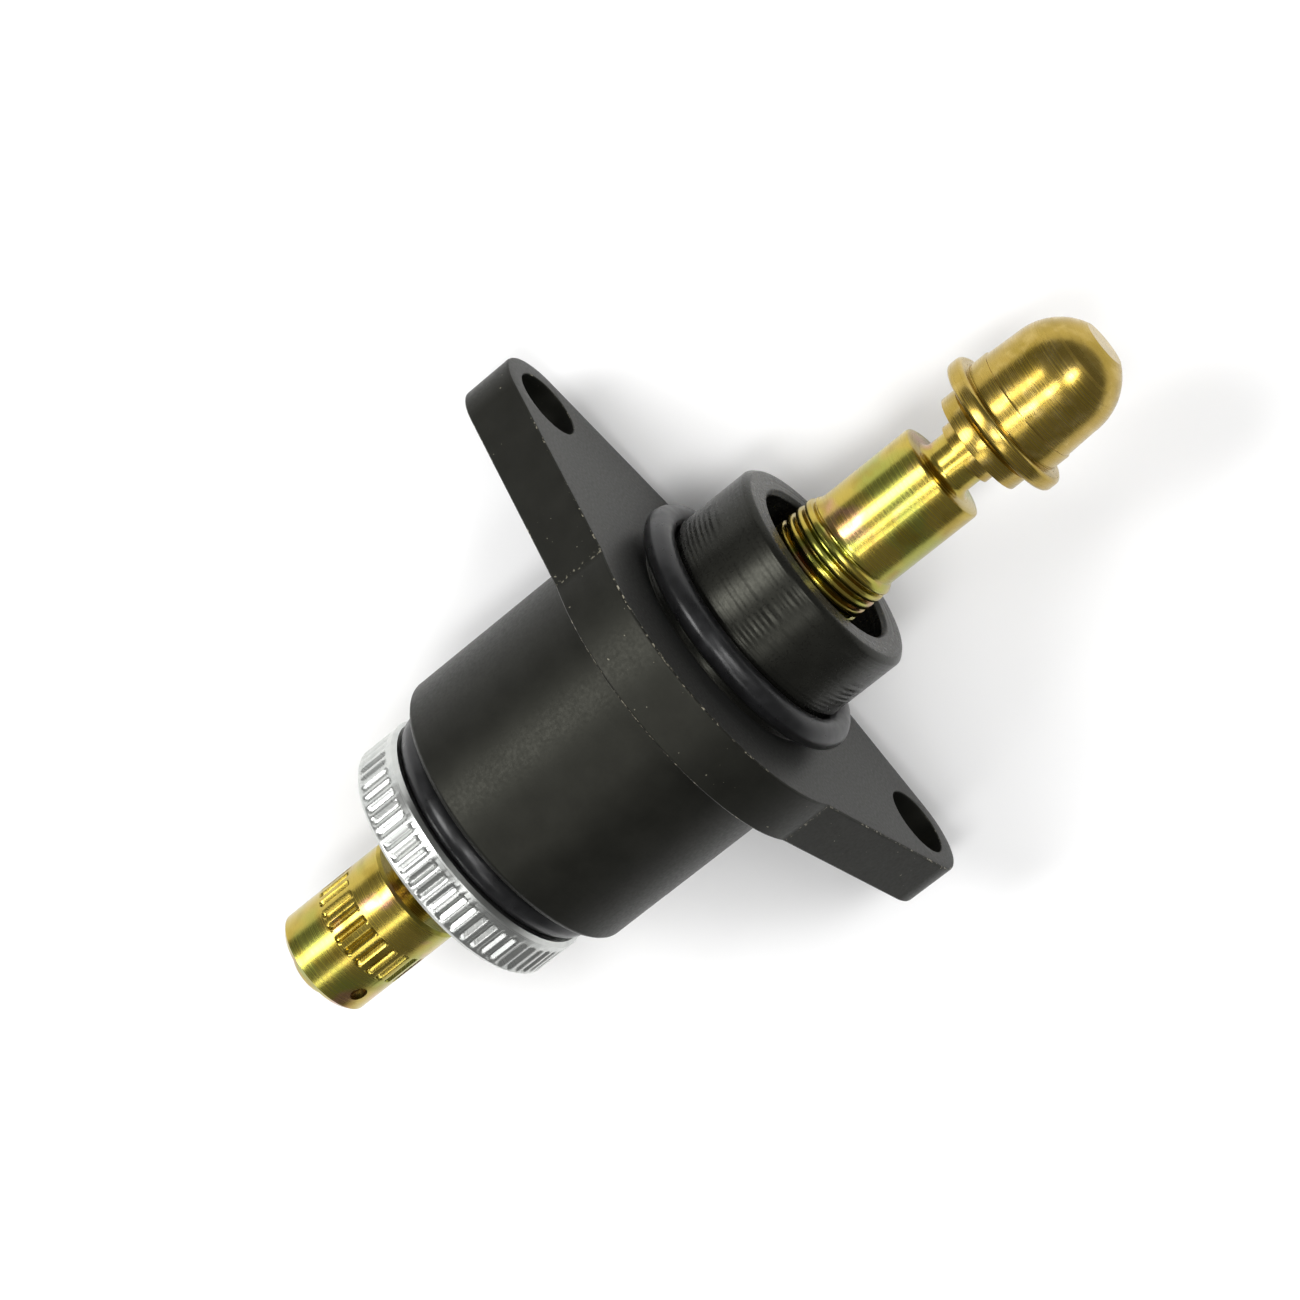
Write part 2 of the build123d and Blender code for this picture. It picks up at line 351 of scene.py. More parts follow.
class Shader:
    """Lays out the nodes of one procedural material."""

    def __init__(self, name: str) -> None:
        """Start a material with a principled surface.

        Args:
            name: Name of the material.
        """
        self.material = bpy.data.materials.new(name)
        self.material.use_nodes = True
        self.nodes = self.material.node_tree.nodes
        self.links = self.material.node_tree.links
        self.surface = self.nodes["Principled BSDF"]
        coordinates = self.nodes.new("ShaderNodeTexCoord")
        self.place = coordinates.outputs["Object"]
        self.normal = coordinates.outputs["Normal"]

    def feed(self, socket: Any, value: Any) -> None:
        """Link a socket to another, or set its value.

        Args:
            socket: Input to fill.
            value: Output socket, number, colour without alpha, or other plain value.
        """
        if isinstance(value, bpy.types.NodeSocket):
            self.links.new(value, socket)
        else:
            socket.default_value = (*value, 1.0) if isinstance(value, tuple) else value

    def math(self, operation: str, first: Any, second: Any = 0.0) -> Any:
        """Work out one number from two.

        Args:
            operation: Name of the operation.
            first: First number or socket.
            second: Second number or socket.

        Returns:
            The result's socket.
        """
        node = self.nodes.new("ShaderNodeMath")
        node.operation = operation
        self.feed(node.inputs[0], first)
        self.feed(node.inputs[1], second)
        return node.outputs[0]

    def part(self, vector: Any, axis: str) -> Any:
        """Give one axis of a vector.

        Args:
            vector: Vector's socket.
            axis: X, Y or Z.

        Returns:
            The number's socket.
        """
        split = self.nodes.new("ShaderNodeSeparateXYZ")
        self.links.new(vector, split.inputs[0])
        return split.outputs[axis]

    def spread(self, value: Any, band: Band, results: Band = (0.0, 1.0)) -> Any:
        """Map a band of values to a band of results, held at both ends.

        Args:
            value: Socket to map.
            band: Values that give the first and the last result.
            results: First and last result.

        Returns:
            The result's socket.
        """
        node = self.nodes.new("ShaderNodeMapRange")
        self.feed(node.inputs["Value"], value)
        names = ("From Min", "From Max", "To Min", "To Max")
        for name, number in zip(names, (*band, *results)):
            self.feed(node.inputs[name], number)
        return node.outputs["Result"]

    def slant(self, tilt: float) -> Any:
        """Measure how far the surface is from a given tilt to the valve's axis.

        Args:
            tilt: Share of the surface's normal along the axis.

        Returns:
            The difference's socket.
        """
        return self.math("ABSOLUTE", self.math("SUBTRACT", self.facing(), tilt))

    def facing(self) -> Any:
        """Give the share of the surface's normal along the valve's axis, either way."""
        return self.math("ABSOLUTE", self.part(self.normal, "X"))

    def station(self) -> Any:
        """Give the distance along the axis, in millimetres."""
        return self.math("DIVIDE", self.part(self.place, "X"), MM)

    def cloud(self, size: float, detail: float) -> Any:
        """Lay a noise over the piece.

        Args:
            size: Size of its patches in millimetres.
            detail: Octaves of finer noise.

        Returns:
            The noise's socket.
        """
        node = self.nodes.new("ShaderNodeTexNoise")
        node.inputs["Scale"].default_value = 1.0 / (size * MM)
        node.inputs["Detail"].default_value = detail
        self.links.new(self.place, node.inputs["Vector"])
        return node.outputs["Fac"]

    def turned_lines(self, pitch: float, detail: float = 2.0) -> Any:
        """Lay the lines of a lathe tool, which run round the axis on walls and faces alike.

        Args:
            pitch: Spacing of the lines in millimetres.
            detail: Octaves of finer lines.

        Returns:
            The lines' socket.
        """
        wide = self.math("POWER", self.part(self.place, "Y"), 2.0)
        high = self.math("POWER", self.part(self.place, "Z"), 2.0)
        radius = self.math("SQRT", self.math("ADD", wide, high))
        along = self.math("ADD", self.part(self.place, "X"), radius)
        node = self.nodes.new("ShaderNodeTexNoise")
        node.noise_dimensions = "1D"
        node.inputs["Scale"].default_value = 1.0 / (pitch * MM)
        node.inputs["Detail"].default_value = detail
        self.links.new(along, node.inputs["W"])
        return node.outputs["Fac"]

    def gap_to(self, line: Corner) -> Any:
        """Measure how far the surface is from a line along the valve, or from its mirror image.

        Args:
            line: (y, z) of the line in millimetres.

        Returns:
            The distance's socket, in millimetres.
        """
        wide = self.math("ABSOLUTE", self.part(self.place, "Y"))
        gaps = (
            self.math("SUBTRACT", wide, line[0] * MM),
            self.math("SUBTRACT", self.part(self.place, "Z"), line[1] * MM),
        )
        squares = [self.math("MULTIPLY", gap, gap) for gap in gaps]
        return self.math("DIVIDE", self.math("SQRT", self.math("ADD", *squares)), MM)

    def blend(self, share: Any, first: Any, second: Any) -> Any:
        """Blend two colours.

        Args:
            share: Share of the second colour.
            first: First colour or socket.
            second: Second colour or socket.

        Returns:
            The blend's socket.
        """
        node = self.nodes.new("ShaderNodeMix")
        node.data_type = "RGBA"
        self.feed(node.inputs["Factor"], share)
        for name, value in (("A", first), ("B", second)):
            socket = next(s for s in node.inputs if s.name == name and s.type == "RGBA")
            self.feed(socket, value)
        return next(s for s in node.outputs if s.type == "RGBA")

    def bump(self, heights: Sequence[tuple[Any, float]]) -> None:
        """Roughen the surface.

        Args:
            heights: Pairs of a height socket and its depth in millimetres.
        """
        below = None
        for height, depth in heights:
            node = self.nodes.new("ShaderNodeBump")
            node.inputs["Strength"].default_value = 1.0
            node.inputs["Distance"].default_value = depth * MM
            self.links.new(height, node.inputs["Height"])
            if below is not None:
                self.links.new(below, node.inputs["Normal"])
            below = node.outputs["Normal"]
        self.links.new(below, self.surface.inputs["Normal"])

    def set(self, **values: Any) -> None:
        """Set or link inputs of the surface.

        Args:
            values: Sockets, numbers or colours by input name, its spaces written as underscores.
        """
        for name, value in values.items():
            self.feed(self.surface.inputs[name.replace("_", " ")], value)


@dataclass(frozen=True)
class MachinedPlastic:
    """Black engineering plastic with lathe lines, pale burrs along its broken edges, and painted light
    on the faces square to its axis.
    """

    dark: Colour = (0.0052, 0.0052, 0.0044)
    pale: Colour = (0.0085, 0.0085, 0.0072)
    # Painted light: a lighter colour on faces square to the axis, standing in for the floor's
    # reflection
    painted_face_light: Colour = (0.029, 0.029, 0.028)
    burr: Colour = (0.27, 0.25, 0.19)
    mottle_size: float = 2.6
    mottle_band: Band = (0.35, 0.7)
    painted_face_light_band: Band = (0.88, 0.98)
    edge_tilt: float = 0.68
    edge_band: Band = (0.12, 0.3)
    burr_size: float = 0.3
    burr_band: Band = (0.55, 0.66)
    burr_run: float = 5.0
    burr_run_band: Band = (0.46, 0.56)
    dust_size: float = 0.36
    dust_band: Band = (0.77, 0.8)
    dust_strength: float = 0.5
    creases: tuple[Corner, ...] = ((14.085, 8.973), (6.659, -15.315))
    crease_band: Band = (0.12, 0.28)
    crease_strength: float = 0.55
    flange_rear: float = -5.2
    flange_front: float = 0.2
    grain_size: float = 0.3
    roughness: Band = (0.4, 0.5)
    spigot_polish: float = 0.15
    gloss: float = 0.2
    gloss_tint: Colour = (1.0, 1.0, 0.84)
    line_pitch: float = 0.09
    line_depth: float = 0.0016
    chatter_pitch: float = 0.4
    chatter_depth: float = 0.045
    chatter_elsewhere: float = 0.08
    pore_size: float = 0.2
    pore_depth: float = 0.0018

    def make(self, name: str) -> bpy.types.Material:
        """Make the material.

        Args:
            name: Name of the material.

        Returns:
            The material.
        """
        shader = Shader(name)
        behind = shader.math("GREATER_THAN", shader.station(), self.flange_rear)
        ahead = shader.math("GREATER_THAN", shader.station(), self.flange_front)
        on_flange = shader.math("SUBTRACT", behind, ahead)
        mottle = shader.spread(shader.cloud(self.mottle_size, 4.0), self.mottle_band)
        body = shader.blend(mottle, self.dark, self.pale)
        # Painted reflection: faces square to the axis are painted lighter, as if lit by the floor
        body = shader.blend(shader.spread(shader.facing(), self.painted_face_light_band), body, self.painted_face_light)
        marks = shader.math("MULTIPLY", on_flange, self.marks(shader))
        satin = shader.spread(shader.cloud(self.grain_size, 2.0), NOISE_BAND, self.roughness)
        polish = shader.math("MULTIPLY", ahead, self.spigot_polish)
        shader.set(
            Base_Color=shader.blend(marks, body, self.burr),
            Roughness=shader.math("SUBTRACT", satin, polish),
            Specular_IOR_Level=self.gloss,
            Specular_Tint=self.gloss_tint,
        )
        chatter = shader.turned_lines(self.chatter_pitch, 0.0)
        strength = shader.math("MAXIMUM", ahead, self.chatter_elsewhere)
        shader.bump(
            (
                (shader.math("MULTIPLY", chatter, strength), self.chatter_depth),
                (shader.turned_lines(self.line_pitch), self.line_depth),
                (shader.cloud(self.pore_size, 2.0), self.pore_depth),
            )
        )
        return shader.material

    def marks(self, shader: Shader) -> Any:
        """Lay out the burrs on the flange's edges and creases, and the dust on its faces.

        Args:
            shader: Material that takes the nodes.

        Returns:
            The socket of the share that the marks cover.
        """
        runs = shader.spread(shader.cloud(self.burr_run, 1.0), self.burr_run_band)
        ragged = shader.spread(shader.cloud(self.burr_size, 2.0), self.burr_band)
        rim = shader.spread(shader.slant(self.edge_tilt), self.edge_band, (1.0, 0.0))
        marks = shader.math("MULTIPLY", rim, shader.math("MULTIPLY", ragged, runs))
        for crease in self.creases:
            ridge = shader.spread(shader.gap_to(crease), self.crease_band, (self.crease_strength, 0.0))
            marks = shader.math("MAXIMUM", marks, shader.math("MULTIPLY", ridge, ragged))
        specks = shader.cloud(self.dust_size, 1.0)
        dust = shader.spread(specks, self.dust_band, (0.0, self.dust_strength))
        return shader.math("MAXIMUM", marks, dust)


@dataclass(frozen=True)
class MouldedRubber:
    """Black rubber with a soft gloss."""

    dark: Colour = (0.006, 0.006, 0.0064)
    bloom: Colour = (0.011, 0.0112, 0.012)
    bloom_size: float = 1.8
    bloom_band: Band = (0.45, 0.75)
    sheen_size: float = 0.9
    roughness: Band = (0.27, 0.38)
    gloss: float = 0.35
    grain_size: float = 0.35
    grain_depth: float = 0.003

    def make(self, name: str) -> bpy.types.Material:
        """Make the material.

        Args:
            name: Name of the material.

        Returns:
            The material.
        """
        shader = Shader(name)
        bloom = shader.spread(shader.cloud(self.bloom_size, 3.0), self.bloom_band)
        shader.set(
            Base_Color=shader.blend(bloom, self.dark, self.bloom),
            Roughness=shader.spread(shader.cloud(self.sheen_size, 2.0), NOISE_BAND, self.roughness),
            Specular_IOR_Level=self.gloss,
        )
        shader.bump(((shader.cloud(self.grain_size, 2.0), self.grain_depth),))
        return shader.material


@dataclass(frozen=True)
class Tint:
    """Colour that drifts over a metal in patches."""

    colour: Colour
    size: float
    band: Band


@dataclass(frozen=True)
class TurnedMetal:
    """Bare or plated metal off the lathe, with tints that drift over it.

    A colour of worn plating and painted highlight shows on the slanted rim at one station.
    """

    base: Colour
    roughness: Band
    tints: tuple[Tint, ...] = ()
    line_pitch: float = 0.11
    line_depth: float = 0.0016
    dent_size: float = 0.6
    dent_depth: float = 0.003
    # Silver of worn plating and a painted highlight on the sleeve's front chamfer
    wear_and_highlight: Colour | None = None
    wear_and_highlight_station: float = 22.95
    wear_and_highlight_reach: float = 0.3
    wear_and_highlight_tilt: float = 0.7
    wear_and_highlight_band: Band = (0.08, 0.22)
    wear_and_highlight_strength: float = 0.8

    def make(self, name: str) -> bpy.types.Material:
        """Make the material.

        Args:
            name: Name of the material.

        Returns:
            The material.
        """
        shader = Shader(name)
        colour: Any = self.base
        for tint in self.tints:
            share = shader.spread(shader.cloud(tint.size, 2.0), tint.band)
            colour = shader.blend(share, colour, tint.colour)
        # Worn plating and painted highlight: the slanted rim at one station turns silver
        if self.wear_and_highlight is not None:
            slant = shader.slant(self.wear_and_highlight_tilt)
            edge = shader.spread(slant, self.wear_and_highlight_band, (self.wear_and_highlight_strength, 0.0))
            away = shader.math("SUBTRACT", shader.station(), self.wear_and_highlight_station)
            at_rim = shader.math("LESS_THAN", shader.math("ABSOLUTE", away), self.wear_and_highlight_reach)
            colour = shader.blend(shader.math("MULTIPLY", edge, at_rim), colour, self.wear_and_highlight)
        lines = shader.turned_lines(self.line_pitch)
        shader.set(
            Base_Color=colour,
            Roughness=shader.spread(lines, NOISE_BAND, self.roughness),
            Metallic=1.0,
        )
        shader.bump(((lines, self.line_depth), (shader.cloud(self.dent_size, 3.0), self.dent_depth)))
        return shader.material


RECIPES: dict[Slot, MachinedPlastic | MouldedRubber | TurnedMetal] = {
    Slot.PLASTIC: MachinedPlastic(),
    Slot.RUBBER: MouldedRubber(),
    Slot.BRASS: TurnedMetal(
        base=(0.4, 0.28, 0.06),
        tints=(
            Tint((0.33, 0.23, 0.037), 3.0, (0.45, 0.7)),
            Tint((0.49, 0.36, 0.11), 1.2, (0.5, 0.75)),
        ),
        roughness=(0.21, 0.31),
        line_depth=0.0011,
    ),
    Slot.YELLOW_ZINC: TurnedMetal(
        base=(0.45, 0.34, 0.065),
        tints=(
            Tint((0.33, 0.33, 0.065), 6.0, (0.51, 0.62)),
            Tint((0.46, 0.25, 0.15), 4.5, (0.57, 0.67)),
            Tint((0.31, 0.22, 0.03), 2.2, (0.5, 0.75)),
        ),
        roughness=(0.19, 0.29),
        line_depth=0.0009,
        # Silver rim line: worn plating and painted highlight
        wear_and_highlight=(0.62, 0.61, 0.56),
    ),
    Slot.BRIGHT_ZINC: TurnedMetal(
        base=(0.55, 0.56, 0.54),
        tints=(Tint((0.48, 0.495, 0.48), 1.5, (0.45, 0.7)),),
        roughness=(0.26, 0.38),
        dent_depth=0.0015,
    ),
    Slot.STEEL: TurnedMetal(base=(0.16, 0.15, 0.13), roughness=(0.35, 0.5)),
}


@dataclass
class Finishes:
    """One material for each slot, made on first use."""

    made: dict[Slot, bpy.types.Material] = field(default_factory=dict)

    def of(self, slot: Slot) -> bpy.types.Material:
        """Give the material of a slot.

        Args:
            slot: Slot of the record.

        Returns:
            Its material.
        """
        if slot not in self.made:
            self.made[slot] = RECIPES[slot].make(slot.value)
        return self.made[slot]


# Pieces


def publish(
    bm: bmesh.types.BMesh,
    name: str,
    finishes: Finishes,
    slot: Slot,
    body: Body,
    node: str,
) -> bpy.types.Object:
    """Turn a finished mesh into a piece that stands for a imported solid.

    Args:
        bm: Mesh in the frame's metres, freed here.
        name: Name of the piece.
        finishes: Materials to take from.
        slot: Material slot.
        body: Body that the piece rides on.
        node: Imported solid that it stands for.

    Returns:
        The piece.
    """
    bmesh.ops.recalc_face_normals(bm, faces=bm.faces[:])
    for face in bm.faces:
        face.smooth = True
    for edge in bm.edges:
        edge.smooth = edge.smooth and edge.is_manifold and edge.calc_face_angle() < SHARP_ANGLE
    mesh = bpy.data.meshes.new(name)
    bm.to_mesh(mesh)
    bm.free()
    mesh.materials.append(finishes.of(slot))
    piece = bpy.data.objects.new(name, mesh)
    bpy.context.scene.collection.objects.link(piece)
    weighted = piece.modifiers.new("weighted_normals", "WEIGHTED_NORMAL")
    weighted.mode = "FACE_AREA_WITH_ANGLE"
    weighted.keep_sharp = True
    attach(piece, body.value)
    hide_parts(node)
    LOG.info("%s: %d faces for %s", name, len(mesh.polygons), node)
    return piece


def ends_of(node: str) -> tuple[float, float]:
    """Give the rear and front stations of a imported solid, in millimetres."""
    low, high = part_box(node)
    return low.x / MM, high.x / MM


def reach_of(node: str) -> float:
    """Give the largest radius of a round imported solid, in millimetres."""
    low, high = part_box(node)
    return (high.y - low.y) / 2.0 / MM


@dataclass
class HousingBody:
    """Barrel, two-eared flange and spigot, machined as one piece of black plastic."""

    holes: list[Corner]
    hole_radius: float
    disc_radius: float = 16.7
    flank_inset: float = 0.5
    ear_radius: float = 5.0
    flange_thickness: float = 5.0
    barrel_radius: float = 13.45
    barrel_chamfer: float = 0.5
    spigot_radius: float = 10.05
    spigot_chamfer: float = 0.5
    groove_rear: float = 0.9
    groove_front: float = 3.7
    groove_depth: float = 0.3
    mouth_radius: float = 7.3
    mouth_depth: float = 13.0
    mouth_chamfer: float = 0.3
    insert_bore: float = 6.72
    rear_bore: float = 9.0
    rear_bore_depth: float = 10.9
    rim_break: float = 0.27
    hole_break: float = 0.16
    corner_break: float = 0.14
    rim_clearance: float = 1.0
    steps: int = 192
    hole_steps: int = 48
    arc_step: float = math.radians(2.5)

    @classmethod
    def from_frame(cls, frame: dict[str, Any]) -> HousingBody:
        """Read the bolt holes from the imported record.

        Args:
            frame: Loaded frame.

        Returns:
            The housing with its holes.
        """
        bolts = next(m for m in frame["record"]["mounts"] if m["name"] == "flange_bolts")
        along = bolts["dims"]["spacing_x_mm"] / 2.0
        drop = bolts["pos_m"][2] / MM
        return cls(holes=[(along, drop), (-along, drop)], hole_radius=bolts["dims"]["hole_r_mm"])

    def profile(self) -> list[Corner]:
        """Give the turned outline from the flange's rear face round the bores to its front face.

        Returns:
            (station, radius) corners.
        """
        rear, front = ends_of("housing")
        seat = front - self.mouth_depth
        bore_end = rear + self.rear_bore_depth
        groove = self.spigot_radius - self.groove_depth
        return [
            (-self.flange_thickness, self.barrel_radius),
            (rear + self.barrel_chamfer, self.barrel_radius),
            (rear, self.barrel_radius - self.barrel_chamfer),
            (rear, self.rear_bore),
            (bore_end, self.rear_bore),
            (bore_end, self.insert_bore),
            (seat, self.insert_bore),
            (seat, self.mouth_radius),
            (front - self.mouth_chamfer, self.mouth_radius),
            (front, self.mouth_radius + self.mouth_chamfer),
            (front, self.spigot_radius - self.spigot_chamfer),
            (front - self.spigot_chamfer, self.spigot_radius),
            (self.groove_front, self.spigot_radius),
            (self.groove_front, groove),
            (self.groove_rear, groove),
            (self.groove_rear, self.spigot_radius),
            (0.0, self.spigot_radius),
        ]

    def arc(
        self,
        bm: bmesh.types.BMesh,
        station: float,
        centre: Corner,
        radius: float,
        start: float,
        sweep: float,
    ) -> list[bmesh.types.BMVert]:
        """Spin one vertex into an arc in the flange's plane.

        Args:
            bm: Mesh that takes the arc.
            station: Station of the plane.
            centre: Centre of the arc, as (y, z).
            radius: Radius of the arc.
            start: Angle of its first point, from +Y.
            sweep: Signed angle that it covers.

        Returns:
            Its vertices in order.
        """
        middle = Vector((station, *centre)) * MM
        first = bm.verts.new(middle + spot(0.0, radius, start))
        known = set(bm.verts)
        bmesh.ops.spin(
            bm,
            geom=[first],
            cent=middle,
            axis=AXIS,
            angle=sweep,
            steps=max(2, round(abs(sweep) / self.arc_step)),
        )
        return [first] + [vert for vert in bm.verts if vert not in known]

    def outline(self, bm: bmesh.types.BMesh, station: float) -> list[bmesh.types.BMEdge]:
        """Draw the flange's outline: disc arcs, straight flanks and rounded ears.

        Args:
            bm: Mesh that takes the outline.
            station: Station of its plane.

        Returns:
            The outline's edges.
        """
        ear_angle = math.atan2(self.holes[0][1], self.holes[0][0])
        reach = math.hypot(*self.holes[0])
        web_radius = self.disc_radius - self.flank_inset
        lean = math.acos((web_radius - self.ear_radius) / reach)
        inset = math.acos(web_radius / self.disc_radius)
        top, bottom = ear_angle + lean, ear_angle - lean
        top_join, bottom_join = top - inset, bottom + inset
        right, left = self.holes
        middle, disc, ear = (0.0, 0.0), self.disc_radius, self.ear_radius
        runs = [
            self.arc(bm, station, middle, disc, top_join, math.pi - 2.0 * top_join),
            self.arc(bm, station, left, ear, math.pi - top, top - bottom),
            self.arc(bm, station, middle, disc, math.pi - bottom_join, math.pi + 2.0 * bottom_join),
            self.arc(bm, station, right, ear, bottom, top - bottom),
        ]
        for before, after in zip(runs, runs[1:] + runs[:1]):
            bm.edges.new((before[-1], after[0]))
        verts = {vert for run in runs for vert in run}
        return list({edge for vert in verts for edge in vert.link_edges})

    def build(self, finishes: Finishes) -> None:
        """Build the housing.

        Args:
            finishes: Materials to take from.
        """
        bm = bmesh.new()
        lathe(bm, self.profile(), self.steps)
        walls: list[list[bmesh.types.BMEdge]] = [[], [], []]
        upright = Matrix.Rotation(math.pi / 2.0, 4, "Y")
        for station in (0.0, -self.flange_thickness):
            ring = [
                edge
                for edge in bm.edges
                if edge.is_boundary and all(abs(station_of(v) - station) < TOUCH for v in edge.verts)
            ]
            loops = [self.outline(bm, station)]
            for centre in self.holes:
                made = bmesh.ops.create_circle(
                    bm,
                    segments=self.hole_steps,
                    radius=self.hole_radius * MM,
                    matrix=Matrix.Translation(Vector((station, *centre)) * MM) @ upright,
                )
                loops.append(list({edge for vert in made["verts"] for edge in vert.link_edges}))
            for wall, loop in zip(walls, loops):
                wall.extend(loop)
            bmesh.ops.triangle_fill(bm, edges=ring + sum(loops, []), use_beauty=True)
        for wall in walls:
            bmesh.ops.bridge_loops(bm, edges=wall)
        bmesh.ops.recalc_face_normals(bm, faces=bm.faces[:])
        self.mark_creases(bm)
        break_edges(bm, self.rim_break, self.on_rim)
        break_edges(bm, self.hole_break, self.on_hole)
        break_edges(bm, self.corner_break, self.on_turned_corner, segments=2)
        publish(bm, "machined_housing", finishes, Slot.PLASTIC, Body.HOUSING, "housing")

    def mark_creases(self, bm: bmesh.types.BMesh) -> None:
        """Keep the crease where a straight flank meets the disc.

        Args:
            bm: Mesh of the housing.
        """
        for edge in bm.edges:
            along = abs(edge.verts[0].co.x - edge.verts[1].co.x) / MM
            if along > self.flange_thickness / 2.0 and self.on_rim(edge):
                if edge.is_manifold and edge.calc_face_angle() > 2.0 * self.arc_step:
                    edge.smooth = False

    def hole_gap(self, vert: bmesh.types.BMVert) -> float:
        """Give a vertex's distance from the nearer bolt hole's axis, in millimetres."""
        return min(math.dist((vert.co.y / MM, vert.co.z / MM), hole) for hole in self.holes)

    def on_rim(self, edge: bmesh.types.BMEdge) -> bool:
        """Tell whether an edge lies on the flange's outer wall.

        Args:
            edge: Edge to test.

        Returns:
            Whether it does.
        """
        inner = self.barrel_radius + self.rim_clearance
        clear = self.hole_radius + self.hole_break
        return least_radius(edge) > inner and all(self.hole_gap(v) > clear for v in edge.verts)

    def on_hole(self, edge: bmesh.types.BMEdge) -> bool:
        """Tell whether an edge lies on a bolt hole's rim."""
        return all(self.hole_gap(vert) < self.hole_radius + TOUCH for vert in edge.verts)

    def on_turned_corner(self, edge: bmesh.types.BMEdge) -> bool:
        """Tell whether an edge is a turned corner outside the seal's groove.

        Args:
            edge: Edge to test.

        Returns:
            Whether it is.
        """
        middle = sum(station_of(v) for v in edge.verts) / 2.0
        in_groove = self.groove_rear - SLACK < middle < self.groove_front + SLACK
        return max(radius_of(v) for v in edge.verts) < self.barrel_radius + SLACK and not in_groove


@dataclass
class SealRing:
    """Moulded rubber ring with a fine flash line round its outside."""

    name: str
    node: str
    flash: float = 0.03
    section_steps: int = 40
    steps: int = 192

    def build(self, finishes: Finishes) -> None:
        """Build the ring.

        Args:
            finishes: Materials to take from.
        """
        rear, front = ends_of(self.node)
        cord = front - rear
        middle = reach_of(self.node) - cord / 2.0
        bm = bmesh.new()
        section = bmesh.ops.create_circle(
            bm,
            segments=self.section_steps,
            radius=cord / 2.0 * MM,
            matrix=Matrix.Translation(spot((rear + front) / 2.0, middle)),
        )["verts"]
        outermost = max(section, key=radius_of)
        set_radius(outermost, radius_of(outermost) + self.flash)
        bmesh.ops.spin(
            bm,
            geom=section + bm.edges[:],
            cent=(0.0, 0.0, 0.0),
            axis=AXIS,
            angle=FULL_TURN,
            steps=self.steps,
            use_merge=True,
        )
        bmesh.ops.remove_doubles(bm, verts=bm.verts[:], dist=MERGE_DISTANCE)
        publish(bm, self.name, finishes, Slot.RUBBER, Body.HOUSING, self.node)


@dataclass
class KnurledRing:
    """Bright ring with a straight knurl, and the hollow stub that screws into the barrel."""

    rim: float = 0.9
    rear_rim: float = 0.45
    chamfer: float = 0.35
    ramp: float = 0.5
    flutes: int = 60
    flute_depth: float = 0.3
    crest_share: float = 0.2
    uneven: float = 0.4
    face: float = 4.5
    shaft_bore: float = 3.02
    gland_bore: float = 5.6
    side_gap: float = 0.05
    seal_inset: float = 0.05
    steps_per_flute: int = 8

    def build(self, finishes: Finishes) -> None:
        """Build the ring.

        Args:
            finishes: Materials to take from.
        """
        rear, stub_front = ends_of("lock_ring")
        outer = reach_of("lock_ring")
        front = rear + self.face
        seal_rear, seal_front = ends_of("ring_seal")
        stub = outer - self.seal_inset - (seal_front - seal_rear)
        seat_rear, seat_front = ends_of("gland_seal")
        seat = reach_of("gland_seal") + self.side_gap
        clip_rear, clip_front = ends_of("gland_clip")
        clip_groove = reach_of("gland_clip") + self.side_gap
        knurl = FlutedBand(
            rear=rear + self.rear_rim,
            front=front - self.rim,
            count=self.flutes,
            depth=self.flute_depth,
            crest_share=self.crest_share,
            ramp=self.ramp,
            uneven=self.uneven,
        )
        profile = [
            (rear, self.shaft_bore),
            (rear, outer - self.chamfer),
            (rear + self.chamfer, outer),
            *knurl.profile(outer),
            (front - self.chamfer, outer),
            (front, outer - self.chamfer),
            (front, stub),
            (stub_front, stub),
            (stub_front, self.gland_bore),
            (clip_front, self.gland_bore),
            (clip_front, clip_groove),
            (clip_rear, clip_groove),
            (clip_rear, self.gland_bore),
            (seat_front, self.gland_bore),
            (seat_front, seat),
            (seat_rear, seat),
            (seat_rear, self.shaft_bore),
        ]
        bm = bmesh.new()
        lathe(bm, profile, self.flutes * self.steps_per_flute, closed=True)
        knurl.press(bm)
        publish(bm, "knurled_ring", finishes, Slot.BRIGHT_ZINC, Body.HOUSING, "lock_ring")


